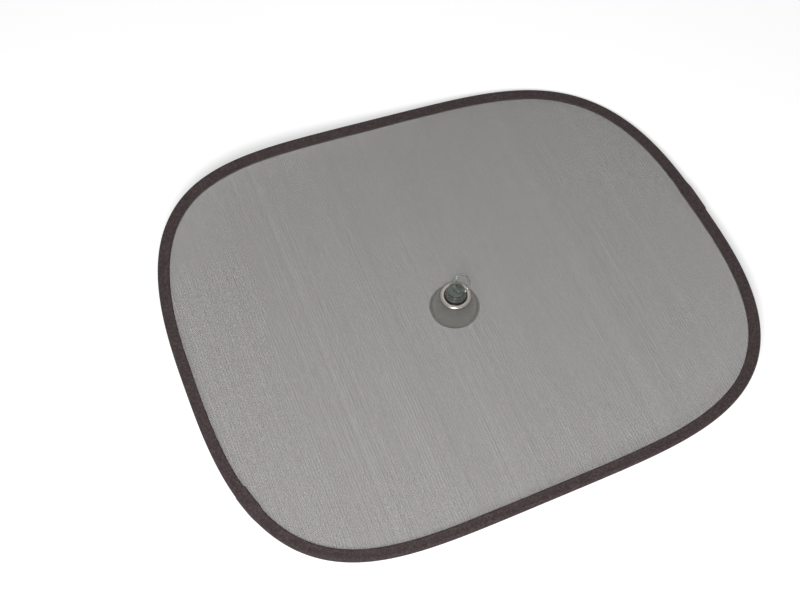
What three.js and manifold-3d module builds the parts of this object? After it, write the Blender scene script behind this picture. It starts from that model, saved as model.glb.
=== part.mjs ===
// Car side window sunshade: a spring-steel hoop in a sewn hem, with a mesh panel stretched
// across it and a clear suction cup that is snapped into a metal eyelet at the centre.
// It lies on a flat surface with the cup underneath, so the hoop comes down on two corners.
// Millimetres, +Z up. The origin is on the surface, under the eyelet.
import * as THREE from "three";
import { mergeVertices } from "three/addons/utils/BufferGeometryUtils.js";
import Module from "manifold-3d";

const wasm = await Module();
wasm.setup();

// Outline of the hem, a superellipse
const shadeLength = 440;
const shadeWidth = 360;
const endSquareness = 4.24;
const sideSquareness = 2.75;

// Spring-steel hoop and the ferrule that joins its two ends
const wireDiameter = 1.6;
const wireEndGap = 1;
const ferruleLength = 22;
const ferruleWall = 0.5;
const ferruleSlip = 0.3;
const ferruleOffset = 12.5;
const crimpDepth = 0.2;
const crimpWidth = 2.4;
const crimpInset = 2.6;

// Mesh panel: a thin web with slots between its ribs, and a ridge on both faces of each rib
const meshThickness = 0.6;
const webThickness = 0.36;
const ribPitch = 3.8;
const ribWidth = 2.2;
const ridgeWidth = 1.4;
const ridgeCrown = 0.5;
const meshBorder = 2.5;
const meshSetback = 0.8;
const eyeletPatch = 1;
const seamSlack = 0.3;

// Binding tape, folded over the hoop and the edge of the mesh
const tapeWidth = 8.5;
const tapeThickness = 0.55;
const pocketSlack = 0.3;
const bumpBlend = 7;
const lapLength = 22;
const lapThickness = 0.5;
const lapOverhang = 0.9;
const lapOffset = 99;
const lapStep = 0.4;

// Eyelet and its washer
const eyeletBore = 15;
const eyeletMetal = 0.5;
const flangeDiameter = 25.6;
const flangeRise = 1.9;
const lipDiameter = 18.6;
const lipDepth = 1;
const washerDiameter = 24;
const washerThickness = 0.5;
const metalSlack = 0.3;

// Bell of the suction cup
const cupDiameter = 40;
const cupHeight = 13.8;
const cupLip = 0.9;
const cupRimWidth = 2.2;
const cupFlareInset = 4.5;
const cupFlareHeight = 7.5;
const cupCrownWall = 4.2;
const cupPadDiameter = 19;
const cupPadHeight = 2;
const cupPadRound = 0.5;
const cupSlack = 0.4;

// Neck and ringed head of the suction cup
const neckDiameter = 13.2;
const barbDiameter = 16.5;
const barbHeight = 1.9;
const collarDiameter = 15.4;
const collarHeight = 1.7;
const capDiameter = 13.8;
const capHeight = 2.6;
const capRound = 0.6;
const grooveDepth = 0.9;
const grooveHeight = 0.6;
const headTaper = 0.25;
const barbSlack = 0.4;

// Soft pull ring that grows out of the head's top, turned as it lies
const ringWidth = 13.2;
const ringLength = 15.6;
const ringThickness = 1.8;
const ringEgg = 0.05;
const ringRootInset = 1.8;
const ringRootSink = 0.3;
const ringRootAngle = -51;
const ringLeanAngle = 73;
const ringRise = 42;

// Facets
const hemStations = 96;
const outlineSamples = 4000;
const featureRoom = 2;
const wireSides = 8;
const ferruleSides = 10;
const pocketSteps = 8;
const ridgeSteps = 8;
const turnedSides = 40;
const curveSteps = 7;
const ringStations = 26;
const ringSides = 8;

const radians = THREE.MathUtils.degToRad;

const finishes = {
  mesh: { color: 0x4a4444, roughness: 0.9, metalness: 0 },
  tape: { color: 0x3a2c2b, roughness: 0.95, metalness: 0 },
  steel: { color: 0x8d8f92, roughness: 0.35, metalness: 1 },
  nickel: { color: 0xc9c3bb, roughness: 0.22, metalness: 1 },
  clear: { color: 0x59625a, roughness: 0.15, metalness: 0, transparent: true, opacity: 0.55 },
};

// Radii of the hem's section, round the wire's centre
const wireRadius = wireDiameter / 2;
const pocketRadius = wireRadius + pocketSlack;
const wireInset = pocketRadius + tapeThickness;
const ferruleBore = wireRadius + ferruleSlip;
const ferruleRadius = ferruleBore + ferruleWall;
const bumpHeight = ferruleRadius - wireRadius;
const meshHalf = meshThickness / 2;
const legInside = meshHalf + seamSlack;
const legOutside = legInside + tapeThickness;
const meshEdge = wireInset + pocketRadius + meshSetback;

// Radii and heights of what is stacked on the eyelet, from the middle of the mesh
const boreRadius = eyeletBore / 2;
const barrelRadius = boreRadius + eyeletMetal;
const holeRadius = barrelRadius + metalSlack;
const flangeSeat = meshHalf + metalSlack;
const flangeTop = flangeSeat + flangeRise;
const washerTop = -flangeSeat;
const washerBottom = washerTop - washerThickness;
const lipTop = washerBottom - metalSlack;
const padSeat = lipTop - lipDepth - cupSlack;
const barbSeat = flangeTop + barbSlack;
const meshHeight = cupHeight - padSeat;

// The outline as a table of points, with the length and the turn up to each
function superPoint(angle) {
  const c = Math.cos(angle);
  const s = Math.sin(angle);
  const x = Math.sign(c) * Math.abs(c) ** (2 / endSquareness);
  const y = Math.sign(s) * Math.abs(s) ** (2 / sideSquareness);
  return new THREE.Vector2((x * shadeLength) / 2, (y * shadeWidth) / 2);
}

function inwardAt(point) {
  const x = (2 * point.x) / shadeLength;
  const y = (2 * point.y) / shadeWidth;
  const slopeX = (endSquareness / shadeLength) * Math.sign(x) * Math.abs(x) ** (endSquareness - 1);
  const slopeY = (sideSquareness / shadeWidth) * Math.sign(y) * Math.abs(y) ** (sideSquareness - 1);
  return new THREE.Vector2(-slopeX, -slopeY).normalize();
}

function traceOutline() {
  const trace = [{ point: superPoint(0), length: 0, turn: 0 }];
  for (let i = 1; i <= outlineSamples; i += 1) {
    const last = trace[i - 1];
    const point = superPoint((2 * Math.PI * i) / outlineSamples);
    const length = last.length + point.distanceTo(last.point);
    const cross = inwardAt(last.point).cross(inwardAt(point));
    const turn = last.turn + Math.asin(THREE.MathUtils.clamp(cross, -1, 1));
    trace.push({ point, length, turn });
  }
  return trace;
}

const outline = traceOutline();
const hemLength = outline[outlineSamples].length;

// Where a measure that rises along the outline reaches a value
function locate(measure, value) {
  let low = 0;
  let high = outlineSamples;
  while (high - low > 1) {
    const middle = Math.floor((low + high) / 2);
    if (measure(outline[middle]) <= value) low = middle;
    else high = middle;
  }
  const before = outline[low];
  const after = outline[high];
  const share = (value - measure(before)) / (measure(after) - measure(before));
  return { before, after, share };
}

function wrap(length) {
  return THREE.MathUtils.euclideanModulo(length, hemLength);
}

function stationAt(length) {
  const { before, after, share } = locate((entry) => entry.length, wrap(length));
  const point = before.point.clone().lerp(after.point, share);
  return { length, point, inward: inwardAt(point) };
}

function distanceAlong(from, to) {
  const ahead = wrap(to - from);
  return Math.min(ahead, hemLength - ahead);
}

// The ferrule is near the middle of the +X end, the lap of the tape near a corner of the other
const ferruleAt = ferruleOffset;
const lapAt = hemLength / 2 + lapOffset;

function bumpShare(length) {
  const past = distanceAlong(length, ferruleAt) - ferruleLength / 2;
  return 1 - THREE.MathUtils.smoothstep(past, 0, bumpBlend);
}

function lapShare(length) {
  return distanceAlong(length, lapAt) <= lapLength / 2 ? 1 : 0;
}

function featureLengths() {
  const lengths = [];
  for (const side of [-1, 1]) {
    for (const blend of [0, bumpBlend / 2, bumpBlend]) {
      lengths.push(ferruleAt + side * (ferruleLength / 2 + blend));
    }
    for (const step of [0, lapStep]) {
      lengths.push(lapAt + side * (lapLength / 2 + step));
    }
  }
  return lengths.map(wrap);
}

// Half of the stations are shared out by length and half by how far the outline turns
function hemLengths() {
  const features = featureLengths();
  const spread = (entry) => entry.length / hemLength + entry.turn / outline[outlineSamples].turn;
  const lengths = [...features];
  for (let i = 0; i < hemStations; i += 1) {
    const { before, after, share } = locate(spread, (2 * i) / hemStations);
    const length = THREE.MathUtils.lerp(before.length, after.length, share);
    if (features.every((feature) => distanceAlong(length, feature) > featureRoom)) {
      lengths.push(length);
    }
  }
  return lengths.sort((a, b) => a - b);
}

const hem = hemLengths().map(stationAt);

// Section of the tape in the hem, as distances inward from the outline and up from the mesh
function arcRound(radius, height, steps) {
  const start = Math.asin(height / radius);
  const points = [];
  for (let i = 0; i <= steps; i += 1) {
    const angle = THREE.MathUtils.lerp(start, 2 * Math.PI - start, i / steps);
    points.push([wireInset + radius * Math.cos(angle), radius * Math.sin(angle)]);
  }
  return points;
}

function tapeSection(length) {
  const lap = lapShare(length);
  const edge = tapeWidth + lap * lapOverhang;
  const inside = pocketRadius + bumpHeight * bumpShare(length);
  const outside = inside + tapeThickness + lap * lapThickness;
  const legTop = legOutside + lap * lapThickness;
  const pocket = arcRound(inside / Math.cos(Math.PI / pocketSteps), legInside, pocketSteps);
  return [
    [edge, legTop],
    ...arcRound(outside, legTop, ridgeSteps),
    [edge, -legTop],
    [edge, -legInside],
    ...pocket.reverse(),
    [edge, legInside],
  ];
}

// The hoop is slightly twisted: opposite corners fall and rise with x times y, by as much as
// brings the tape at the two low corners down to the surface
function cornerShare(x, y) {
  return (4 * x * y) / (shadeLength * shadeWidth);
}

function twistOfHoop() {
  let fall = Infinity;
  for (const { length, point, inward } of hem) {
    for (const [inset, height] of tapeSection(length)) {
      const at = point.clone().addScaledVector(inward, inset);
      const share = cornerShare(at.x, at.y);
      if (share > 0) fall = Math.min(fall, (meshHeight + height) / share);
    }
  }
  return fall;
}

const cornerFall = twistOfHoop();

function draped(x, y, height) {
  return new THREE.Vector3(x, y, meshHeight - cornerFall * cornerShare(x, y) + height);
}

function placeOnHem(station, inset, height) {
  const at = station.point.clone().addScaledVector(station.inward, inset);
  return draped(at.x, at.y, height);
}

function polar(radius, degrees, height) {
  const angle = radians(degrees);
  return new THREE.Vector3(radius * Math.cos(angle), radius * Math.sin(angle), height);
}

// Closed bodies from rows of points
function volumeOf(positions, triangles) {
  let volume = 0;
  for (const [a, b, c] of triangles) {
    volume += positions[a].dot(positions[b].clone().cross(positions[c])) / 6;
  }
  return volume;
}

function bodyFrom(positions, triangles) {
  const facesOut = volumeOf(positions, triangles) > 0;
  const geometry = new THREE.BufferGeometry().setFromPoints(positions);
  geometry.setIndex(triangles.flatMap(([a, b, c]) => (facesOut ? [a, b, c] : [a, c, b])));
  geometry.computeVertexNormals();
  return geometry;
}

function skin(rows, { closeRows, closePoints }) {
  const width = rows[0].length;
  const triangles = [];
  const lastRow = closeRows ? rows.length : rows.length - 1;
  const lastPoint = closePoints ? width : width - 1;
  for (let i = 0; i < lastRow; i += 1) {
    const here = i * width;
    const next = ((i + 1) % rows.length) * width;
    for (let j = 0; j < lastPoint; j += 1) {
      const k = (j + 1) % width;
      triangles.push([here + j, next + j, next + k], [here + j, next + k, here + k]);
    }
  }
  return triangles;
}

function loopedBody(rows) {
  return bodyFrom(rows.flat(), skin(rows, { closeRows: true, closePoints: true }));
}

function cappedBody(rows) {
  const triangles = skin(rows, { closeRows: false, closePoints: true });
  const width = rows[0].length;
  const last = (rows.length - 1) * width;
  for (let j = 1; j < width - 1; j += 1) {
    triangles.push([0, j, j + 1], [last, last + j + 1, last + j]);
  }
  return bodyFrom(rows.flat(), triangles);
}

// Merges the seam and the poles of a turned shape
function weld(geometry) {
  geometry.deleteAttribute("normal");
  geometry.deleteAttribute("uv");
  const merged = mergeVertices(geometry);
  const position = merged.getAttribute("position");
  const positions = [];
  for (let i = 0; i < position.count; i += 1) {
    positions.push(new THREE.Vector3().fromBufferAttribute(position, i));
  }
  const triangles = [];
  for (let i = 0; i < merged.index.count; i += 3) {
    const corners = [0, 1, 2].map((step) => merged.index.getX(i + step));
    if (new Set(corners).size === 3) triangles.push(corners);
  }
  return bodyFrom(positions, triangles);
}

function turned(profile) {
  const points = profile.map(([radius, height]) => new THREE.Vector2(radius, height));
  return weld(new THREE.LatheGeometry(points, turnedSides).rotateX(Math.PI / 2));
}

function solidOf(geometry) {
  const vertProperties = new Float32Array(geometry.getAttribute("position").array);
  const triVerts = new Uint32Array(geometry.index.array);
  return new wasm.Manifold(new wasm.Mesh({ numProp: 3, vertProperties, triVerts }));
}

function geometryOf(solid) {
  const mesh = solid.getMesh();
  const geometry = new THREE.BufferGeometry();
  geometry.setAttribute("position", new THREE.BufferAttribute(mesh.vertProperties, 3));
  geometry.setIndex(new THREE.BufferAttribute(mesh.triVerts, 1));
  geometry.computeVertexNormals();
  return geometry;
}

// Half of the shade's width at x, on a curve that runs inset from the outline
function halfWidthAt(x, inset) {
  let last = null;
  for (let i = 0; i <= outlineSamples / 4; i += 1) {
    const { point } = outline[i];
    const at = point.clone().addScaledVector(inwardAt(point), inset);
    if (at.x <= Math.abs(x)) {
      return last ? THREE.MathUtils.mapLinear(Math.abs(x), last.x, at.x, last.y, at.y) : 0;
    }
    last = at;
  }
  return last.y;
}

// Half of a circle's chord at x, or 0 past the circle
function halfChord(radius, x) {
  return Math.sqrt(Math.max(0, radius * radius - x * x));
}

function slotPath([left, right], [leftFrom, rightFrom], [leftTo, rightTo]) {
  const corners = [[left, leftFrom], [right, rightFrom], [right, rightTo], [left, leftTo]];
  return new THREE.Path(corners.map(([x, y]) => new THREE.Vector2(x, y)));
}

// The slots between the ribs run from hem to hem, and stop at the patch round the eyelet
function meshSlots() {
  const slots = [];
  const half = (ribPitch - ribWidth) / 2;
  const patchRadius = flangeDiameter / 2 + eyeletPatch;
  for (let x = ribPitch / 2; x < shadeLength / 2; x += ribPitch) {
    for (const centre of [-x, x]) {
      const sides = [centre - half, centre + half];
      const ends = sides.map((at) => halfWidthAt(at, meshEdge + meshBorder));
      if (Math.min(...ends) < ribPitch) continue;
      if (x - half >= patchRadius) {
        slots.push(slotPath(sides, ends.map((end) => -end), ends));
      } else {
        const starts = sides.map((at) => Math.max(halfChord(patchRadius, at), ribWidth / 2));
        slots.push(slotPath(sides, starts, ends));
        slots.push(slotPath(sides, ends.map((end) => -end), starts.map((start) => -start)));
      }
    }
  }
  return slots;
}

function meshWeb() {
  const edge = hem.map(({ point, inward }) => point.clone().addScaledVector(inward, meshEdge));
  const shape = new THREE.Shape(edge);
  const hole = [];
  for (let i = 0; i < turnedSides; i += 1) {
    const at = polar(holeRadius, (360 * i) / turnedSides, 0);
    hole.push(new THREE.Vector2(at.x, at.y));
  }
  shape.holes = [new THREE.Path(hole), ...meshSlots()];
  const web = new THREE.ExtrudeGeometry(shape, { depth: webThickness, bevelEnabled: false });
  return weld(web.translate(0, 0, -webThickness / 2));
}

function ridgeBetween(x, from, to) {
  const foot = ridgeWidth / 2;
  const crown = ridgeCrown / 2;
  const section = [
    [-foot, 0],
    [-crown, -meshHalf],
    [crown, -meshHalf],
    [foot, 0],
    [crown, meshHalf],
    [-crown, meshHalf],
  ];
  return cappedBody(
    [from, to].map((y) => section.map(([across, height]) => new THREE.Vector3(x + across, y, height))),
  );
}

function meshRidges() {
  const ridges = [];
  const gap = holeRadius + metalSlack;
  const inset = meshEdge + meshBorder / 2;
  for (let rib = 0; halfWidthAt(rib * ribPitch + ridgeWidth / 2, inset) > ribPitch; rib += 1) {
    const x = rib * ribPitch;
    const end = halfWidthAt(x + ridgeWidth / 2, inset);
    const start = halfChord(gap, Math.max(0, x - ridgeWidth / 2));
    for (const centre of rib === 0 ? [0] : [-x, x]) {
      if (start === 0) {
        ridges.push(ridgeBetween(centre, -end, end));
      } else {
        ridges.push(ridgeBetween(centre, start, end), ridgeBetween(centre, -end, -start));
      }
    }
  }
  return ridges;
}

// The panel is made flat and then takes the twist of the hoop
function meshPanel() {
  const flat = wasm.Manifold.union([meshWeb(), ...meshRidges()].map(solidOf));
  const geometry = geometryOf(flat);
  const position = geometry.getAttribute("position");
  for (let i = 0; i < position.count; i += 1) {
    const at = draped(position.getX(i), position.getY(i), position.getZ(i));
    position.setXYZ(i, at.x, at.y, at.z);
  }
  geometry.computeVertexNormals();
  return geometry;
}

function bindingTape() {
  return loopedBody(
    hem.map((station) =>
      tapeSection(station.length).map(([inset, height]) => placeOnHem(station, inset, height)),
    ),
  );
}

function roundSection(station, radius, sides) {
  const points = [];
  for (let i = 0; i < sides; i += 1) {
    const angle = (2 * Math.PI * (i + 0.5)) / sides;
    const inset = wireInset + radius * Math.cos(angle);
    points.push(placeOnHem(station, inset, radius * Math.sin(angle)));
  }
  return points;
}

// The hoop runs once round, and its two ends meet inside the ferrule
function frameWire() {
  const start = ferruleAt + wireEndGap / 2;
  const end = ferruleAt - wireEndGap / 2 + hemLength;
  const between = hem
    .map((station) => start + wrap(station.length - start))
    .filter((length) => length > start && length < end);
  const lengths = [start, ...between.sort((a, b) => a - b), end];
  return cappedBody(lengths.map((length) => roundSection(stationAt(length), wireRadius, wireSides)));
}

// A tube that is pressed in near both ends, as a closed outline carried round the wire
function wireFerrule() {
  const half = ferruleLength / 2;
  const outside = [[-half, ferruleRadius]];
  for (const side of [-1, 1]) {
    const centre = side * (half - crimpInset - crimpWidth / 2);
    outside.push([centre - crimpWidth / 2, ferruleRadius]);
    outside.push([centre - crimpWidth / 4, ferruleRadius - crimpDepth]);
    outside.push([centre + crimpWidth / 4, ferruleRadius - crimpDepth]);
    outside.push([centre + crimpWidth / 2, ferruleRadius]);
  }
  outside.push([half, ferruleRadius]);
  const inside = [[half, ferruleBore], [0, ferruleBore], [-half, ferruleBore]];
  return loopedBody(
    [...outside, ...inside].map(([along, radius]) =>
      roundSection(stationAt(ferruleAt + along), radius, ferruleSides),
    ),
  );
}

// Half an ellipse between two radii, from the first to the second
function rolled(from, to, level, rise) {
  const points = [];
  for (let i = 0; i <= curveSteps; i += 1) {
    const angle = (Math.PI * i) / curveSteps;
    const radius = (from + to) / 2 + ((from - to) / 2) * Math.cos(angle);
    points.push([radius, level + rise * Math.sin(angle)]);
  }
  return points;
}

// Stamped eyelet: domed flange, barrel and a lip rolled out under the washer
function eyelet() {
  const flangeRadius = flangeDiameter / 2;
  const lipRadius = lipDiameter / 2;
  const seat = meshHeight + flangeSeat;
  const foot = meshHeight + lipTop;
  const profile = [
    ...rolled(flangeRadius, boreRadius, seat, flangeRise),
    ...rolled(boreRadius, lipRadius, foot, -lipDepth),
    ...rolled(lipRadius - eyeletMetal, barrelRadius, foot, eyeletMetal - lipDepth),
    ...rolled(barrelRadius, flangeRadius - eyeletMetal, seat, flangeRise - eyeletMetal),
  ];
  return turned([...profile, profile[0]]);
}

function eyeletWasher() {
  const outer = washerDiameter / 2;
  const top = meshHeight + washerTop;
  const bottom = meshHeight + washerBottom;
  const bevel = washerThickness / 3;
  return turned([
    [holeRadius, bottom],
    [outer - bevel, bottom],
    [outer, bottom + bevel],
    [outer, top],
    [holeRadius, top],
    [holeRadius, bottom],
  ]);
}

function curvePoints(from, control, to) {
  const ends = [from, control, to].map(([radius, height]) => new THREE.Vector2(radius, height));
  const curve = new THREE.QuadraticBezierCurve(...ends);
  return curve.getPoints(curveSteps).map((point) => [point.x, point.y]);
}

// Outline of the moulded cup: hollow, flat rim, flared bell, pad, neck and three-ringed head
function cupProfile() {
  const rim = cupDiameter / 2;
  const hollow = cupHeight - cupCrownWall;
  const rimInside = rim - cupRimWidth;
  const pad = cupPadDiameter / 2;
  const neck = neckDiameter / 2;
  const flareRadius = rim - cupFlareInset;
  const profile = [
    ...curvePoints([0, hollow], [rimInside - cupFlareInset / 2, hollow * 0.85], [rimInside, 0]),
    [rim, 0],
    ...curvePoints([rim, cupLip], [flareRadius, cupFlareHeight], [pad, cupHeight - cupPadHeight]),
    [pad, cupHeight - cupPadRound],
    [pad - cupPadRound, cupHeight],
    [neck, cupHeight],
  ];
  let level = meshHeight + barbSeat;
  profile.push([neck, level]);
  const tiers = [
    [barbDiameter / 2, barbHeight, collarDiameter / 2 - grooveDepth],
    [collarDiameter / 2, collarHeight, capDiameter / 2 - grooveDepth],
  ];
  for (const [radius, height, groove] of tiers) {
    profile.push([radius, level], [radius - headTaper, level + height], [groove, level + height]);
    level += height + grooveHeight;
    profile.push([groove, level]);
  }
  const cap = capDiameter / 2;
  profile.push([cap, level], [cap - headTaper, level + capHeight - capRound]);
  profile.push([cap - headTaper - capRound, level + capHeight], [0, level + capHeight]);
  return profile;
}

// Egg-shaped ring whose narrow end is sunk in the head's top, leaning back over it
function pullRing(headTop) {
  const half = ringThickness / 2;
  const rootRadius = capDiameter / 2 - ringRootInset;
  const root = polar(rootRadius, ringRootAngle, headTop + half - ringRootSink);
  const up = new THREE.Vector3(0, 0, 1);
  const lean = polar(1, ringLeanAngle, 0);
  const across = new THREE.Vector3().crossVectors(lean, up);
  const along = lean.clone().multiplyScalar(Math.cos(radians(ringRise)));
  along.addScaledVector(up, Math.sin(radians(ringRise)));
  const normal = new THREE.Vector3().crossVectors(across, along);
  const reach = (ringLength - ringThickness) / 2;
  const side = (ringWidth - ringThickness) / 2;
  const centreAt = (turn) => {
    const wide = side * Math.sin(turn) * (1 - ringEgg * Math.cos(turn));
    const point = root.clone().addScaledVector(across, wide);
    return point.addScaledVector(along, reach * (1 - Math.cos(turn)));
  };
  const rows = [];
  for (let i = 0; i < ringStations; i += 1) {
    const turn = (2 * Math.PI * i) / ringStations;
    const centre = centreAt(turn);
    const forward = centreAt(turn + 0.01).sub(centreAt(turn - 0.01)).normalize();
    const outward = new THREE.Vector3().crossVectors(forward, normal);
    const row = [];
    for (let j = 0; j < ringSides; j += 1) {
      const angle = (2 * Math.PI * j) / ringSides;
      const point = centre.clone().addScaledVector(outward, half * Math.cos(angle));
      row.push(point.addScaledVector(normal, half * Math.sin(angle)));
    }
    rows.push(row);
  }
  return loopedBody(rows);
}

function suctionCup() {
  const profile = cupProfile();
  const headTop = profile[profile.length - 1][1];
  const cup = solidOf(turned(profile));
  return geometryOf(cup.add(solidOf(pullRing(headTop))));
}

const shade = new THREE.Group();

function addPiece(name, geometry, finish) {
  const mesh = new THREE.Mesh(geometry, new THREE.MeshStandardMaterial(finishes[finish]));
  mesh.name = name;
  shade.add(mesh);
}

addPiece("mesh_panel", meshPanel(), "mesh");
addPiece("binding_tape", bindingTape(), "tape");
addPiece("frame_wire", frameWire(), "steel");
addPiece("wire_ferrule", wireFerrule(), "steel");
addPiece("eyelet", eyelet(), "nickel");
addPiece("eyelet_washer", eyeletWasher(), "nickel");
addPiece("suction_cup", suctionCup(), "clear");

export default shade;
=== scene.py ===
"""Looks of the car side window sunshade: knitted mesh, sewn hem, nickel eyelet, clear cup."""
import math

import bmesh
import bpy
import numpy as np
from mathutils import Matrix, Vector


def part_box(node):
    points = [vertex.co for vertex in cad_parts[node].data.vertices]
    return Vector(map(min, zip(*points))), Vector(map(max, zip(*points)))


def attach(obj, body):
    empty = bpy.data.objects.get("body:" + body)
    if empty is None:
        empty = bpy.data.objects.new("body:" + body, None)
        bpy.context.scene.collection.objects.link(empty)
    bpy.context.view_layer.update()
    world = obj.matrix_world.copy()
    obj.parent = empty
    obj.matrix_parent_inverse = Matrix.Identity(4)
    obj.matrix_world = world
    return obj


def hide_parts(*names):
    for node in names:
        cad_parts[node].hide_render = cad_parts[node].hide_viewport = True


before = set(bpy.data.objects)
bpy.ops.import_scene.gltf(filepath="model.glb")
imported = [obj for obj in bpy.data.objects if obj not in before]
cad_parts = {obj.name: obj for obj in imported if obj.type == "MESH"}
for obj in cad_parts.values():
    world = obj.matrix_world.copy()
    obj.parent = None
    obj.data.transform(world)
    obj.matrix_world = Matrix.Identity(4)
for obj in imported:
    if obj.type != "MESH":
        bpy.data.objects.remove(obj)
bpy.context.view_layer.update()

MM = 0.001

# Outline and section of the hem, in millimetres, as the solids have them
HALF_LENGTH = 220.0
HALF_WIDTH = 180.0
END_SQUARENESS = 4.24
SIDE_SQUARENESS = 2.75
WIRE_RADIUS = 0.8
POCKET_RADIUS = 1.1
TAPE_THICKNESS = 0.55
TAPE_WIDTH = 8.5
WIRE_INSET = POCKET_RADIUS + TAPE_THICKNESS
LEG_HEIGHT = 0.6 + TAPE_THICKNESS
BUMP_HEIGHT = 0.8
FERRULE_FROM, FERRULE_TO = 1.5, 23.5
LAP_FROM, LAP_TO = 88.0, 110.0
LAP_THICKNESS = 0.5
LAP_OVERHANG = 0.9

# Modelling of the hem that the solids leave out
HEM_STATIONS = 1800
LEG_SHARES = np.array([[1.0, 0.975, 0.9, 0.8, 0.68, 0.62, 0.56, 0.47, 0.36, 0.27]])
RIDGE_ANGLES = np.radians([[64, 82, 100, 120, 140, 160, 180]])
SHELL_SHARE = 0.8
WIDTH_UNEVENNESS, SWAY = 0.16, 0.12
FERRULE_STEP, FERRULE_FADE, FERRULE_SWELL = 3, 9, 0.3
LAP_SKEW, LAP_STEP, LAP_FADE = 0.45, 1.2, 8
VALLEY_WIDTH, VALLEY_DEPTH, PUCKER = 0.7, 0.3, 0.12
EDGE_WIDTH, EDGE_DROP = 0.5, 0.25
DIP_INSET, DIP_WIDTH, DIP_DEPTH = 3.6, 0.8, 0.08

# Sewing
STITCH_PITCH = 3.1
STITCH_LENGTH = 2.5
STITCH_INSET = 5.9
STITCH_DEPTH = 0.28
STITCH_SLANT, STITCH_JITTER = 0.06, 0.05
STITCH_RINGS = np.array([-1.0, -0.86, -0.45, 0.0, 0.45, 0.86, 1.0])
STITCH_SWELL = np.array([0.35, 0.8, 1.0, 1.0, 1.0, 0.8, 0.35])
STITCH_RISE = np.array([-0.3, -0.1, 0.03, 0.08, 0.03, -0.1, -0.3])
THREAD_RADIUS = 0.18
THREAD_SIDES = 8

# Weave of the tape, and its fold along the section
WARP_PITCH, WEFT_PITCH = 0.46, 0.62
TAPE_FOLD = 9.72

# Knitted mesh
RIB_PITCH = 0.575
RIB_WIDTH, RIB_HEIGHT = 0.265, 0.1
HEAVY_RIB_WIDTH = 0.325
RIB_UNEVENNESS = 0.1
COURSE = 0.4
LACE_WIDTH, LACE_HEIGHT = 0.1, 0.2
RIB_SPAN, LACE_SPAN = 500, 26
HEAVY_EVERY = 4
YARN_REACH, YARN_STEP = 300, 0.5
MESH_INSET = 4.2
EYELET_HOLE = 8.8

# Eyelet, washer and cup, in millimetres from the middle of the mesh or from the floor
BORE = 7.5
METAL = 0.5
FLANGE_RADIUS = 12.8
FLANGE_SEAT = 0.6
FLANGE_RISE = 1.9
LIP_RADIUS = 9.3
LIP_TOP = -1.4
LIP_DEPTH = 1.0
WASHER_RADIUS = 12.0
WASHER_HOLE = 8.3
WASHER_THICKNESS = 0.5
CUP_RADIUS = 20.0
CUP_HEIGHT = 13.8
CUP_WALL = 4.2
RIM_WIDTH = 2.2
RIM_HEIGHT = 0.9
HOLLOW_FULLNESS = 0.85
FLARE_INSET = 4.5
FLARE_HEIGHT = 7.5
PAD_RADIUS = 9.5
PAD_HEIGHT = 2.0
NECK_RADIUS = 6.6
HEAD_SEAT = 2.9
HEAD_RINGS = ((8.25, 1.9, 6.8), (7.7, 1.7, 6.0))
HEAD_DRAFT, HEAD_GAP = 0.25, 0.6
CAP_RADIUS, CAP_HEIGHT = 6.9, 2.6
RING_LENGTH = 15.6
RING_WIDTH = 13.2
RING_THICKNESS = 1.8
RING_EGG = 0.05
RING_ROOT = 5.1
RING_SINK = 0.3
RING_ROOT_ANGLE = math.radians(-51)
RING_LEAN_ANGLE = math.radians(73)
RING_RISE = math.radians(42)
RING_STATIONS, RING_SIDES = 96, 20
LATHE_SIDES = 128
WELD = 1e-7

# Camera that was fitted to the photograph
PHOTO_WIDTH = 800
FOCAL_PIXELS = 1400.0
SENSOR_WIDTH = 36
ELEVATION, AZIMUTH, ROLL = math.radians(61.131), math.radians(23.716), math.radians(2.05)
EYE = Vector((-0.2520, -0.4659, 0.9726))

# Light, and how much brighter the floor looks than it is lit
FLOOR_LIFT = 0.5
FLOOR_DROP = 0.0004
FILL_LIGHT, FILL_IN_GLOSS = 0.22, 0.6

# Colours, linear
YARN_DARK, YARN_LIGHT = (0.118, 0.098, 0.095, 1), (0.150, 0.128, 0.126, 1)
YARN_SLUB = (0.205, 0.182, 0.182, 1)
TAPE_DARK, TAPE_LIGHT = (0.128, 0.068, 0.071, 1), (0.184, 0.122, 0.126, 1)
# The lighter weave tone is a painted highlight on the crossings of the weave.
TAPE_WEAVE_HIGHLIGHT, TAPE_MOTTLE = (0.190, 0.145, 0.146, 1), (0.370, 0.290, 0.294, 1)
# The darkest tape tone is painted shade along the ridge over the wire and along the inner edges, and
# also the dark of the needle holes.
TAPE_PATCH, TAPE_SHADE_AND_NEEDLE_DARK = (0.040, 0.020, 0.021, 1), (0.012, 0.007, 0.008, 1)
THREAD_DARK, THREAD_LIGHT = (0.022, 0.013, 0.014, 1), (0.042, 0.027, 0.028, 1)
NICKEL_DARK, NICKEL_LIGHT = (0.37, 0.33, 0.30, 1), (0.50, 0.455, 0.42, 1)
STEEL_DARK, STEEL_LIGHT = (0.42, 0.42, 0.43, 1), (0.62, 0.62, 0.63, 1)
CLEAR_DARK, CLEAR_LIGHT = (0.66, 0.72, 0.68, 1), (0.80, 0.85, 0.81, 1)
CLEAR_SMOKE = (0.34, 0.40, 0.30, 1)
FLOOR_DARK, FLOOR_LIGHT = (0.78, 0.78, 0.78, 1), (0.82, 0.82, 0.82, 1)
WHITE = (1, 1, 1, 1)

# Height of the mesh at the centre and the twist of the hoop, from the wire's own box
wire_low, wire_high = (Vector(corner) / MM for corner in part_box("frame_wire"))
MESH_HEIGHT = (wire_low.z + wire_high.z) / 2

outline_cache = {}


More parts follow.
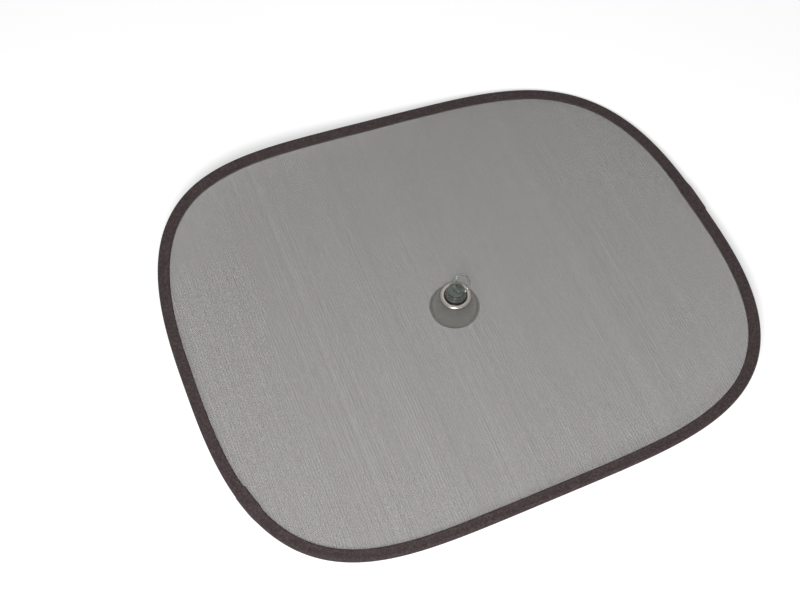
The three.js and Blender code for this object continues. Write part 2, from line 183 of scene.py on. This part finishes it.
def outline(count):
    """Points, inward directions and lengths at equal steps along the hem's outer edge."""
    if count not in outline_cache:
        angle = np.linspace(0, 2 * math.pi, 40001)
        c, s = np.cos(angle), np.sin(angle)
        x = HALF_LENGTH * np.sign(c) * np.abs(c) ** (2 / END_SQUARENESS)
        y = HALF_WIDTH * np.sign(s) * np.abs(s) ** (2 / SIDE_SQUARENESS)
        length = np.concatenate([[0], np.cumsum(np.hypot(np.diff(x), np.diff(y)))])
        along = length[-1] * np.arange(count) / count
        points = np.stack([np.interp(along, length, x), np.interp(along, length, y)], axis=1)
        share = points / (HALF_LENGTH, HALF_WIDTH)
        power = np.array([END_SQUARENESS, SIDE_SQUARENESS])
        slope = power / (HALF_LENGTH, HALF_WIDTH) * np.sign(share) * np.abs(share) ** (power - 1)
        inward = -slope / np.linalg.norm(slope, axis=1, keepdims=True)
        outline_cache[count] = points, inward, along, length[-1]
    return outline_cache[count]


def corner_fall():
    """How far the low corners lie below the centre, per unit of x times y over the half sides."""
    points, inward, _, _ = outline(2000)
    wire = points + inward * WIRE_INSET
    reach = (wire[:, 0] * wire[:, 1]).max() / (HALF_LENGTH * HALF_WIDTH)
    return ((wire_high.z - wire_low.z) / 2 - WIRE_RADIUS) / reach


CORNER_FALL = corner_fall()


def drape(x, y, height):
    """Points in metres on the twisted surface of the hoop, from flat ones in millimetres."""
    z = MESH_HEIGHT - CORNER_FALL * x * y / (HALF_LENGTH * HALF_WIDTH) + height
    return np.stack(np.broadcast_arrays(x, y, z), axis=-1) * MM


def wander(along, total, seed, waves=(3, 7, 13, 22)):
    """A slow, closed, repeatable unevenness from -1 to 1 along the hem."""
    phases = np.random.default_rng(seed).uniform(0, 2 * math.pi, len(waves))
    value = sum(np.sin(2 * math.pi * n * along / total + p) for n, p in zip(waves, phases))
    return value / len(waves)


def new_object(name, vertices, faces, smooth=True, uv=None):
    mesh = bpy.data.meshes.new(name)
    mesh.from_pydata(np.asarray(vertices).reshape(-1, 3).tolist(), [], np.asarray(faces).tolist())
    mesh.validate()
    if smooth:
        mesh.shade_smooth()
    if uv is not None:
        layer = mesh.uv_layers.new(name="run")
        corners = np.zeros(len(mesh.loops), dtype=np.int32)
        mesh.loops.foreach_get("vertex_index", corners)
        layer.data.foreach_set("uv", np.asarray(uv)[corners].ravel())
    obj = bpy.data.objects.new(name, mesh)
    bpy.context.scene.collection.objects.link(obj)
    return obj


def grid_faces(rows, columns, close_rows, close_columns):
    i = np.arange(rows if close_rows else rows - 1)[:, None]
    j = np.arange(columns if close_columns else columns - 1)[None, :]
    i2, j2 = (i + 1) % rows, (j + 1) % columns
    quads = [i * columns + j, i2 * columns + j, i2 * columns + j2, i * columns + j2]
    return np.stack(np.broadcast_arrays(*quads), axis=-1).reshape(-1, 4)


# Materials


class Nodes:
    """A material's node tree, with short calls for the few nodes that are used here."""

    def __init__(self, name):
        self.material = bpy.data.materials.new(name)
        self.material.use_nodes = True
        self.tree = self.material.node_tree
        self.shader = self.tree.nodes["Principled BSDF"]
        self.output = self.tree.nodes["Material Output"]

    def add(self, kind, inputs=None, **settings):
        node = self.tree.nodes.new("ShaderNode" + kind)
        for key, value in settings.items():
            setattr(node, key, value)
        for key, value in (inputs or {}).items():
            if isinstance(value, bpy.types.NodeSocket):
                self.tree.links.new(value, node.inputs[key])
            else:
                node.inputs[key].default_value = value
        return node

    def math(self, operation, first, second=0.0):
        return self.add("Math", {0: first, 1: second}, operation=operation).outputs[0]

    def spread(self, value, low, high):
        inputs = {"Value": value, "To Min": low, "To Max": high}
        return self.add("MapRange", inputs).outputs["Result"]

    def ramp(self, value, zero_at, one_at):
        inputs = {"Value": value, "From Min": zero_at, "From Max": one_at}
        return self.add("MapRange", inputs).outputs["Result"]

    def wave(self, value, pitch, operation="SINE"):
        return self.math(operation, self.math("MULTIPLY", value, 2 * math.pi / pitch))

    def parts(self, vector):
        return self.add("SeparateXYZ", {0: vector}).outputs

    def stretched(self, coordinates, scale):
        return self.add("Mapping", {"Vector": coordinates, "Scale": scale}).outputs[0]

    def noise(self, coordinates, scale, detail=3.0):
        inputs = {"Vector": coordinates, "Scale": scale, "Detail": detail, "Roughness": 0.55}
        return self.add("TexNoise", inputs).outputs["Fac"]

    def blend(self, share, first, second):
        """A mix of two colours; its colour sockets are 6 and 7, and 2 on the way out."""
        mix = self.add("Mix", data_type="RGBA")
        for socket, value in zip((mix.inputs[0], mix.inputs[6], mix.inputs[7]), (share, first, second)):
            if isinstance(value, bpy.types.NodeSocket):
                self.tree.links.new(value, socket)
            else:
                socket.default_value = value
        return mix.outputs[2]

    def bump(self, height, distance, strength, under=None):
        inputs = {"Height": height, "Distance": distance, "Strength": strength}
        if under is not None:
            inputs["Normal"] = under
        return self.add("Bump", inputs).outputs["Normal"]

    def place(self):
        return self.add("TexCoord").outputs["Object"]

    def set(self, **values):
        for key, value in values.items():
            socket = self.shader.inputs[key.replace("_", " ")]
            if isinstance(value, bpy.types.NodeSocket):
                self.tree.links.new(value, socket)
            else:
                socket.default_value = value
        return self.material


def knit_material():
    """Dark filament yarn with a faint sheen, chain loops along each rib and slow cloudiness."""
    n = Nodes("mesh_yarn")
    place = n.place()
    cloud = n.noise(place, 9.0)
    fibre = n.noise(n.stretched(place, (3.0, 0.35, 3.0)), 1600.0, 2.0)
    slub = n.noise(n.stretched(place, (1.0, 0.06, 1.0)), 420.0, 1.0)
    tone = n.blend(n.spread(cloud, 0.25, 0.75), YARN_DARK, YARN_LIGHT)
    tone = n.blend(n.spread(slub, 0.0, 0.55), tone, YARN_SLUB)
    loops = n.wave(n.parts(place)[1], COURSE * MM)
    normal = n.bump(loops, 0.00006, 0.8)
    normal = n.bump(fibre, 0.00003, 0.5, normal)
    return n.set(
        Base_Color=tone, Roughness=n.spread(slub, 0.42, 0.6), Normal=normal,
        Specular_IOR_Level=0.45, Sheen_Weight=0.25, Sheen_Roughness=0.4,
    )


def tape_material():
    """Matte plain-woven tape, mottled, with painted shade along its fold and its inner edges, a painted
    highlight on its weave, and dark needle holes.
    """
    n = Nodes("hem_tape")
    along, across, _ = n.parts(n.add("UVMap", uv_map="run").outputs[0])
    place = n.place()
    weave = n.math("MULTIPLY", n.wave(across, WARP_PITCH), n.wave(along, WEFT_PITCH))
    fuzz = n.noise(place, 2600.0)
    cloud = n.noise(place, 14.0)
    patch = n.noise(place, 120.0, 2.0)
    mottle = n.noise(place, 620.0, 2.0)
    # Painted shade: the tape is drawn darker along the ridge over the wire and along its inner edges,
    # where it steps down onto the mesh.
    fold = n.math("ABSOLUTE", n.math("SUBTRACT", across, TAPE_FOLD))
    outer = n.ramp(fold, 2.6, 1.3)
    inner = n.ramp(fold, TAPE_FOLD - 1.3, TAPE_FOLD - 0.5)
    beat = n.math("MAXIMUM", n.wave(along, STITCH_PITCH, "COSINE"), 0.0)
    line = n.math("SUBTRACT", fold, TAPE_FOLD - TAPE_WIDTH + STITCH_INSET)
    line = n.math("SUBTRACT", n.math("ABSOLUTE", line), 0.25)
    needle = n.math("MULTIPLY", n.math("POWER", beat, 8.0), n.ramp(line, 0.6, 0.0))
    tone = n.blend(n.spread(cloud, 0.2, 0.8), TAPE_DARK, TAPE_LIGHT)
    # Painted highlight: the crossings of the weave are drawn lighter and greyer.
    tone = n.blend(n.spread(weave, 0.0, 0.35), tone, TAPE_WEAVE_HIGHLIGHT)
    tone = n.blend(n.ramp(mottle, 0.42, 0.68), tone, TAPE_MOTTLE)
    tone = n.blend(n.spread(patch, 0.0, 0.6), tone, TAPE_PATCH)
    # Painted shade on the ridge and the inner edges; the needle holes are drawn dark as well.
    for mark, share in ((outer, 0.85), (inner, 0.75), (needle, 0.85)):
        tone = n.blend(n.math("MULTIPLY", mark, share), tone, TAPE_SHADE_AND_NEEDLE_DARK)
    normal = n.bump(weave, 0.00005, 0.8)
    normal = n.bump(fuzz, 0.00005, 0.5, normal)
    return n.set(
        Base_Color=tone, Roughness=n.spread(fuzz, 0.52, 0.7), Normal=normal,
        Specular_IOR_Level=0.3, Sheen_Weight=0.06, Sheen_Roughness=0.45,
    )


def thread_material():
    n = Nodes("sewing_thread")
    place = n.place()
    strands = {"Vector": place, "Scale": 900.0, "Distortion": 2.0}
    twist = n.add("TexWave", strands, bands_direction="DIAGONAL")
    tone = n.blend(n.spread(n.noise(place, 60.0), 0.2, 0.8), THREAD_DARK, THREAD_LIGHT)
    normal = n.bump(twist.outputs["Fac"], 0.00004, 0.6)
    return n.set(Base_Color=tone, Roughness=0.55, Normal=normal, Specular_IOR_Level=0.4)


def nickel_material():
    """Bright nickel with fine turning lines and small rubbed patches."""
    n = Nodes("nickel_plate")
    place = n.place()
    x, y, _ = n.parts(place)
    square = n.math("ADD", n.math("POWER", x, 2.0), n.math("POWER", y, 2.0))
    rings = n.wave(n.math("SQRT", square), 0.00021)
    rub = n.noise(place, 260.0, 4.0)
    tone = n.blend(n.spread(rub, 0.2, 0.8), NICKEL_DARK, NICKEL_LIGHT)
    normal = n.bump(rings, 0.000004, 0.6)
    normal = n.bump(rub, 0.00005, 0.35, normal)
    return n.set(Base_Color=tone, Metallic=1.0, Roughness=n.spread(rub, 0.16, 0.34), Normal=normal)


def steel_material():
    n = Nodes("spring_steel")
    grain = n.noise(n.stretched(n.place(), (1.0, 0.15, 1.0)), 900.0)
    tone = n.blend(grain, STEEL_DARK, STEEL_LIGHT)
    normal = n.bump(grain, 0.00002, 0.5)
    return n.set(Base_Color=tone, Metallic=1.0, Roughness=n.spread(grain, 0.25, 0.42), Normal=normal)


def clear_material():
    """Clear soft PVC with a smoky green tint, slightly uneven from the mould."""
    n = Nodes("clear_pvc")
    place = n.place()
    flow = n.noise(place, 160.0, 2.0)
    dust = n.noise(place, 1800.0)
    tone = n.blend(n.spread(flow, 0.2, 0.8), CLEAR_DARK, CLEAR_LIGHT)
    haze = n.add("VolumeAbsorption", {"Color": CLEAR_SMOKE, "Density": 290.0})
    n.tree.links.new(haze.outputs[0], n.output.inputs["Volume"])
    normal = n.bump(flow, 0.00025, 0.35)
    return n.set(
        Base_Color=tone, Roughness=n.spread(dust, 0.06, 0.2), Normal=normal,
        Transmission_Weight=0.9, IOR=1.5, Specular_IOR_Level=0.6,
    )


def floor_material():
    """Pale floor that keeps the shadow; camera, gloss and clear rays see it brighter."""
    n = Nodes("pale_floor")
    path = n.add("LightPath")
    seen = n.math("MAXIMUM", path.outputs["Is Camera Ray"], path.outputs["Is Glossy Ray"])
    seen = n.math("MAXIMUM", seen, path.outputs["Is Transmission Ray"])
    grain = n.noise(n.place(), 3.0, 2.0)
    tone = n.blend(grain, FLOOR_DARK, FLOOR_LIGHT)
    return n.set(
        Base_Color=tone, Roughness=0.9, Specular_IOR_Level=0.1,
        Emission_Color=WHITE, Emission_Strength=n.math("MULTIPLY", seen, FLOOR_LIFT),
    )


# Pieces


def eased(value):
    value = np.clip(value, 0, 1)
    return value * value * (3 - 2 * value)


def ferrule_share(along, total):
    """Share of the bulge over the ferrule: abrupt at its lower end, gentle at its upper one."""
    at = (along + total / 2) % total - total / 2
    start = eased((at - FERRULE_FROM + FERRULE_STEP) / FERRULE_STEP)
    return start * eased((FERRULE_TO + FERRULE_FADE - at) / FERRULE_FADE)


def lap_share(along, total, inset):
    """Share of the second layer where the tape's end, cut askew, laps over its start."""
    at = along - total / 2 - LAP_FROM - LAP_SKEW * (TAPE_WIDTH - inset)
    length = LAP_TO - LAP_FROM
    return eased(at / LAP_STEP + 0.5) * eased((length + LAP_FADE / 2 - at) / LAP_FADE)


def hem_tape():
    """The folded tape as a thin shell: legs, stitch valley, and the ridge over the wire."""
    points, inward, along, total = outline(HEM_STATIONS)
    run = along[:, None]
    bump = ferrule_share(run, total)
    pucker = np.cos(2 * math.pi * run * round(total / STITCH_PITCH) / total)
    overhang = LAP_OVERHANG * lap_share(run, total, TAPE_WIDTH)
    uneven = WIDTH_UNEVENNESS * wander(run, total, 3)
    width = TAPE_WIDTH + uneven + overhang + FERRULE_SWELL * bump

    leg_u = WIRE_INSET + (width - WIRE_INSET) * LEG_SHARES
    valley = np.exp(-(((leg_u - STITCH_INSET) / VALLEY_WIDTH) ** 2))
    edge = eased((leg_u - width + EDGE_WIDTH) / EDGE_WIDTH)
    dip = np.exp(-(((leg_u - DIP_INSET) / DIP_WIDTH) ** 2))
    lap = lap_share(run, total, leg_u)
    sunk = valley * (VALLEY_DEPTH + PUCKER * pucker)
    leg_h = LEG_HEIGHT - sunk - EDGE_DROP * edge - DIP_DEPTH * dip
    leg_h = leg_h + LAP_THICKNESS * lap + FERRULE_SWELL * bump
    ridge_lap = lap_share(run, total, 1.0)
    radius = WIRE_INSET + 0.9 * BUMP_HEIGHT * bump + 0.6 * LAP_THICKNESS * ridge_lap
    top_u = np.concatenate([leg_u, WIRE_INSET + radius * np.cos(RIDGE_ANGLES)], axis=1)
    top_h = np.concatenate([leg_h, radius * np.sin(RIDGE_ANGLES)], axis=1)
    outer_u = np.concatenate([top_u, top_u[:, -2::-1]], axis=1)
    outer_h = np.concatenate([top_h, -top_h[:, -2::-1]], axis=1)

    step_u, step_h = np.gradient(outer_u, axis=1), np.gradient(outer_h, axis=1)
    size = np.hypot(step_u, step_h)
    inner_u = outer_u + SHELL_SHARE * TAPE_THICKNESS * step_h / size
    inner_h = outer_h - SHELL_SHARE * TAPE_THICKNESS * step_u / size
    section_u = np.concatenate([outer_u, inner_u[:, ::-2]], axis=1)
    section_h = np.concatenate([outer_h, inner_h[:, ::-2]], axis=1)
    sway = SWAY * wander(run, total, 11, (5, 9, 17, 31))
    section_h = section_h + sway * np.clip((section_u - 3) / 5, 0, 1)

    x = points[:, :1] + inward[:, :1] * section_u
    y = points[:, 1:] + inward[:, 1:] * section_u
    girth_u = np.diff(section_u, prepend=section_u[:, :1])
    girth_h = np.diff(section_h, prepend=section_h[:, :1])
    girth = np.cumsum(np.hypot(girth_u, girth_h), axis=1)
    uv = np.stack(np.broadcast_arrays(run, girth), axis=-1).reshape(-1, 2)
    faces = grid_faces(HEM_STATIONS, section_u.shape[1], True, True)
    return new_object("hem_tape", drape(x, y, section_h), faces, uv=uv)


def stitches(name, side):
    """One face of the lockstitch line: short, slightly sunk lengths of thread."""
    points, inward, along, total = outline(8000)
    count = int(round(total / STITCH_PITCH))
    centre = (np.arange(count) + 0.5) * total / count
    turn = 2 * math.pi * np.arange(THREAD_SIDES) / THREAD_SIDES
    thick = (THREAD_RADIUS * STITCH_SWELL)[:, None]
    vertices, faces = [], []
    jitter = np.random.default_rng(5).normal(0, STITCH_JITTER, count)
    for k in range(count):
        at = (centre[k] + STITCH_RINGS * STITCH_LENGTH / 2) % total
        px = np.interp(at, along, points[:, 0], period=total)
        py = np.interp(at, along, points[:, 1], period=total)
        nx = np.interp(at, along, inward[:, 0], period=total)
        ny = np.interp(at, along, inward[:, 1], period=total)
        u = STITCH_INSET + jitter[k] + STITCH_RINGS * STITCH_SLANT
        swelling = FERRULE_SWELL * ferrule_share(at, total)
        raised = LAP_THICKNESS * lap_share(at, total, STITCH_INSET) + swelling
        level = LEG_HEIGHT - STITCH_DEPTH + raised + STITCH_RISE
        ring_u = u[:, None] + thick * np.cos(turn)[None, :]
        ring_h = side * (level[:, None] + thick * np.sin(turn)[None, :])
        ring = drape(px[:, None] + nx[:, None] * ring_u, py[:, None] + ny[:, None] * ring_u, ring_h)
        start = k * len(STITCH_RINGS) * THREAD_SIDES
        vertices.append(ring.reshape(-1, 3))
        faces.append(grid_faces(len(STITCH_RINGS), THREAD_SIDES, False, True) + start)
    return new_object(name, np.concatenate(vertices), np.concatenate(faces))


def inside_hem(x, y):
    """Whether points lie where the mesh does: inside the hem and outside the eyelet's hole."""
    points, inward, _, _ = outline(4000)
    edge = points + inward * MESH_INSET
    upper = edge[edge[:, 1] > 0]
    order = np.argsort(upper[:, 0])
    half = np.interp(x, upper[order, 0], upper[order, 1], left=0, right=0)
    return (np.abs(y) < half) & (np.hypot(x, y) > EYELET_HOLE)


def strand(x0, y0, direction, width, height, longest):
    """One yarn across the hoop: a flat band on an upright one, in lengths that follow the twist."""
    s = np.arange(-YARN_REACH, YARN_REACH, YARN_STEP)
    kept = inside_hem(x0 + direction[0] * s, y0 + direction[1] * s)
    turns = np.flatnonzero(np.diff(kept.astype(int)))
    side = np.array([-direction[1], direction[0]])
    vertices, faces, first = [], [], 0
    for low, high in zip(s[turns[::2] + 1], s[turns[1::2]]):
        at = np.linspace(low, high, max(2, int(math.ceil((high - low) / longest)) + 1))
        x, y = x0 + direction[0] * at, y0 + direction[1] * at
        u = np.array([-width / 2, width / 2, 0.0, 0.0])
        h = np.array([height / 2, height / 2, height / 2, -height / 2])
        place = drape(x[:, None] + side[0] * u, y[:, None] + side[1] * u, h[None, :])
        row = np.arange(len(at) - 1)[:, None] * 4 + first
        flat = np.concatenate([row, row + 1, row + 5, row + 4], axis=1)
        vertices.append(place.reshape(-1, 3))
        faces += [flat, flat + 2]
        first += len(at) * 4
    return vertices, faces, first


def mesh_fabric():
    """Warp-knitted mesh: ribs along Y, and lacing yarns that zigzag from rib to rib between them."""
    vertices, faces, start = [], [], 0
    ribs = np.arange(-int(HALF_LENGTH / RIB_PITCH), int(HALF_LENGTH / RIB_PITCH) + 1)
    size = math.hypot(RIB_PITCH, COURSE)
    widths = np.where(ribs % HEAVY_EVERY == 0, HEAVY_RIB_WIDTH, RIB_WIDTH)
    widths = widths * (1 + RIB_UNEVENNESS * np.random.default_rng(7).uniform(-1, 1, len(ribs)))
    yarns = [(k * RIB_PITCH, 0, (0, 1), w, RIB_HEIGHT, RIB_SPAN) for k, w in zip(ribs, widths)]
    span = int((HALF_WIDTH + HALF_LENGTH * COURSE / RIB_PITCH) / (2 * COURSE))
    for slope in (1, -1):
        lace = ((RIB_PITCH / size, slope * COURSE / size), LACE_WIDTH, LACE_HEIGHT, LACE_SPAN)
        yarns += [(0, 2 * k * COURSE, *lace) for k in range(-span, span + 1)]
    for yarn in yarns:
        places, pieces, count = strand(*yarn)
        vertices += places
        faces += [piece + start for piece in pieces]
        start += count
    return new_object("mesh_fabric", np.concatenate(vertices), np.concatenate(faces), smooth=False)


def facing_out(obj, weld=False):
    """The object with its faces turned outward, and doubled points joined if asked."""
    mesh = bmesh.new()
    mesh.from_mesh(obj.data)
    if weld:
        bmesh.ops.remove_doubles(mesh, verts=mesh.verts, dist=WELD)
    bmesh.ops.recalc_face_normals(mesh, faces=mesh.faces)
    mesh.to_mesh(obj.data)
    mesh.free()
    return obj


def lathe(name, profile, closed=True):
    """A turned body from radius and height in millimetres."""
    profile = np.asarray(profile, dtype=float)
    turn = 2 * math.pi * np.arange(LATHE_SIDES) / LATHE_SIDES
    x = profile[None, :, 0] * np.cos(turn)[:, None]
    y = profile[None, :, 0] * np.sin(turn)[:, None]
    z = np.broadcast_to(profile[None, :, 1], x.shape)
    place = np.stack([x, y, z], axis=-1) * MM
    obj = new_object(name, place, grid_faces(LATHE_SIDES, len(profile), True, closed))
    return facing_out(obj, weld=True)


def arc(centre, radii, start, end, steps):
    angle = np.radians(np.linspace(start, end, steps))
    return [(centre[0] + radii[0] * math.cos(a), centre[1] + radii[1] * math.sin(a)) for a in angle]


def quadratic(first, control, last, steps):
    t = np.linspace(0, 1, steps)[:, None]
    first, control, last = (np.array(p, dtype=float) for p in (first, control, last))
    return ((1 - t) ** 2 * first + 2 * t * (1 - t) * control + t**2 * last).tolist()


def softened(profile, radius):
    """The same profile with each sharp corner turned into a small round."""
    profile = [np.array(p, dtype=float) for p in profile]
    rounded = [profile[0]]
    for before, corner, after in zip(profile, profile[1:], profile[2:]):
        back, ahead = before - corner, after - corner
        back_size, ahead_size = np.linalg.norm(back), np.linalg.norm(ahead)
        straight = np.dot(back, ahead) / max(back_size * ahead_size, 1e-12)
        if straight < -0.95:
            rounded.append(corner)
            continue
        cut = min(radius, back_size * 0.45, ahead_size * 0.45)
        first, last = corner + back / back_size * cut, corner + ahead / ahead_size * cut
        rounded.extend(np.array(p) for p in quadratic(first, corner, last, 4))
    rounded.append(profile[-1])
    return rounded


def eyelet_smooth():
    middle = (BORE + FLANGE_RADIUS) / 2
    half = (FLANGE_RADIUS - BORE) / 2
    seat = MESH_HEIGHT + FLANGE_SEAT
    foot = MESH_HEIGHT + LIP_TOP
    lip_middle, lip_half = (BORE + LIP_RADIUS) / 2, (LIP_RADIUS - BORE) / 2
    profile = arc((middle, seat), (half, FLANGE_RISE), 0, 180, 25)
    profile += arc((lip_middle, foot), (lip_half, -LIP_DEPTH), 180, 0, 15)
    profile += arc((lip_middle, foot), (lip_half - METAL, -(LIP_DEPTH - METAL)), 0, 180, 15)
    profile += arc((middle, seat), (half - METAL, FLANGE_RISE - METAL), 180, 0, 25)
    return lathe("eyelet_nickel", profile)


def washer_smooth():
    top = MESH_HEIGHT - FLANGE_SEAT
    low = top - WASHER_THICKNESS
    corners = [(WASHER_HOLE, low), (WASHER_RADIUS, low), (WASHER_RADIUS, top), (WASHER_HOLE, top)]
    return lathe("washer_nickel", softened([*corners, corners[0]], 0.15)[:-1])


def cup_profile():
    """Rim, flared bell, pad, neck and the ringed head, from the middle underneath to the top."""
    hollow = CUP_HEIGHT - CUP_WALL
    rim_inside = CUP_RADIUS - RIM_WIDTH
    flare = CUP_RADIUS - FLARE_INSET
    brow = (rim_inside - FLARE_INSET / 2, hollow * HOLLOW_FULLNESS)
    under = quadratic((0, hollow), brow, (rim_inside, 0), 28)
    shoulder = (PAD_RADIUS, CUP_HEIGHT - PAD_HEIGHT)
    bell = quadratic((CUP_RADIUS, RIM_HEIGHT), (flare, FLARE_HEIGHT), shoulder, 24)
    level = MESH_HEIGHT + HEAD_SEAT
    rest = [(CUP_RADIUS, 0.0), *bell, (PAD_RADIUS, CUP_HEIGHT)]
    rest += [(NECK_RADIUS, CUP_HEIGHT), (NECK_RADIUS, level)]
    for radius, height, groove in HEAD_RINGS:
        rest += [(radius, level), (radius - HEAD_DRAFT, level + height), (groove, level + height)]
        level += height + HEAD_GAP
        rest.append((groove, level))
    top = level + CAP_HEIGHT
    rest += [(CAP_RADIUS, level), (CAP_RADIUS - HEAD_DRAFT, top), (0, top)]
    return [*under[:-1], *softened([under[-1], *rest], 0.3)], top


def pull_ring(top):
    """Egg-shaped ring, its narrow end sunk in the head's top, leaning back over it."""
    root_x, root_y = RING_ROOT * math.cos(RING_ROOT_ANGLE), RING_ROOT * math.sin(RING_ROOT_ANGLE)
    root = Vector((root_x, root_y, top + RING_THICKNESS / 2 - RING_SINK))
    lean = Vector((math.cos(RING_LEAN_ANGLE), math.sin(RING_LEAN_ANGLE), 0))
    across = lean.cross(Vector((0, 0, 1)))
    along = lean * math.cos(RING_RISE) + Vector((0, 0, math.sin(RING_RISE)))
    normal = across.cross(along)
    reach = (RING_LENGTH - RING_THICKNESS) / 2
    side = (RING_WIDTH - RING_THICKNESS) / 2

    def centre(turn):
        wide = side * math.sin(turn) * (1 - RING_EGG * math.cos(turn))
        return root + across * wide + along * (reach * (1 - math.cos(turn)))

    vertices = []
    for i in range(RING_STATIONS):
        turn = 2 * math.pi * i / RING_STATIONS
        forward = (centre(turn + 0.01) - centre(turn - 0.01)).normalized()
        outward = forward.cross(normal)
        for j in range(RING_SIDES):
            angle = 2 * math.pi * j / RING_SIDES
            offset = outward * math.cos(angle) + normal * math.sin(angle)
            vertices.append((centre(turn) + offset * (RING_THICKNESS / 2)) * MM)
    faces = grid_faces(RING_STATIONS, RING_SIDES, True, True)
    return facing_out(new_object("pull_ring_part", vertices, faces))


def cup_clear():
    profile, top = cup_profile()
    cup = lathe("cup_clear", profile, closed=False)
    ring = pull_ring(top)
    union = cup.modifiers.new("join", "BOOLEAN")
    union.operation = "UNION"
    union.solver = "EXACT"
    union.object = ring
    graph = bpy.context.evaluated_depsgraph_get()
    joined = bpy.data.meshes.new_from_object(cup.evaluated_get(graph))
    cup.modifiers.clear()
    cup.data = joined
    bpy.data.objects.remove(ring, do_unlink=True)
    cup.data.shade_smooth()
    cup.data.set_sharp_from_angle(angle=math.radians(50))
    return cup


def dress(obj, material, body, slot, *nodes):
    obj.data.materials.clear()
    obj.data.materials.append(material)
    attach(obj, body)
    if nodes:
        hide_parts(*nodes)


# Camera
level = math.cos(ELEVATION)
forward = Vector((math.sin(AZIMUTH) * level, math.cos(AZIMUTH) * level, -math.sin(ELEVATION)))
base_right = Vector((math.cos(AZIMUTH), -math.sin(AZIMUTH), 0))
base_up = base_right.cross(forward)
right = base_right * math.cos(ROLL) + base_up * math.sin(ROLL)
up = base_up * math.cos(ROLL) - base_right * math.sin(ROLL)
camera_data = bpy.data.cameras.new("camera")
camera_data.sensor_width = SENSOR_WIDTH
camera_data.lens = FOCAL_PIXELS / PHOTO_WIDTH * SENSOR_WIDTH
camera = bpy.data.objects.new("camera", camera_data)
bpy.context.scene.collection.objects.link(camera)
axes = Matrix((right, up, -forward)).transposed()
camera.matrix_world = Matrix.Translation(EYE) @ axes.to_4x4()
bpy.context.scene.camera = camera

# Pieces on their bodies
yarn, tape, thread = knit_material(), tape_material(), thread_material()
nickel, steel, clear = nickel_material(), steel_material(), clear_material()

fabric = mesh_fabric()
hem = hem_tape()
top_stitches = stitches("stitches_top", 1)
under_stitches = stitches("stitches_under", -1)
dress(fabric, yarn, "shade", "mesh", "mesh_panel")
dress(hem, tape, "shade", "tape", "binding_tape")
dress(top_stitches, thread, "shade", "tape")
dress(under_stitches, thread, "shade", "tape")
dress(eyelet_smooth(), nickel, "shade", "eyelet", "eyelet")
dress(washer_smooth(), nickel, "shade", "washer", "eyelet_washer")
dress(cup_clear(), clear, "cup", "cup", "suction_cup")
for node in ("frame_wire", "wire_ferrule"):
    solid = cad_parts[node]
    for slot in solid.material_slots:
        slot.material = steel

# Floor, world and lights
corners = [(-4, -4, 0), (4, -4, 0), (4, 4, 0), (-4, 4, 0)]
floor = new_object("floor", corners, [(0, 1, 2, 3)], smooth=False)
floor.location.z = -FLOOR_DROP
floor.data.materials.append(floor_material())

world = bpy.data.worlds.new("studio")
bpy.context.scene.world = world
world.use_nodes = True
tree = world.node_tree
back = tree.nodes["Background"]
back.inputs["Color"].default_value = WHITE
path = tree.nodes.new("ShaderNodeLightPath")
seen = tree.nodes.new("ShaderNodeMath")
seen.operation = "MAXIMUM"
tree.links.new(path.outputs["Is Glossy Ray"], seen.inputs[0])
tree.links.new(path.outputs["Is Transmission Ray"], seen.inputs[1])
fill = tree.nodes.new("ShaderNodeMapRange")
fill.inputs["To Min"].default_value = FILL_LIGHT
fill.inputs["To Max"].default_value = FILL_IN_GLOSS
tree.links.new(seen.outputs[0], fill.inputs["Value"])
strength = tree.nodes.new("ShaderNodeMath")
strength.operation = "MAXIMUM"
tree.links.new(path.outputs["Is Camera Ray"], strength.inputs[0])
tree.links.new(fill.outputs["Result"], strength.inputs[1])
tree.links.new(strength.outputs[0], back.inputs["Strength"])


def area_light(name, place, target, size, power):
    data = bpy.data.lights.new(name, "AREA")
    data.shape = "RECTANGLE"
    data.size, data.size_y = size
    data.energy = power
    light = bpy.data.objects.new(name, data)
    light.location = place
    light.rotation_euler = (Vector(target) - Vector(place)).to_track_quat("-Z", "Y").to_euler()
    bpy.context.scene.collection.objects.link(light)


area_light("overhead", (0.3, 0.5, 1.9), (0, 0, 0), (1.2, 1.2), 2.5)
area_light("front", (-0.45, -0.75, 1.0), (-0.05, -0.05, 0), (0.3, 0.3), 12.5)

bpy.context.scene.view_settings.view_transform = "Standard"
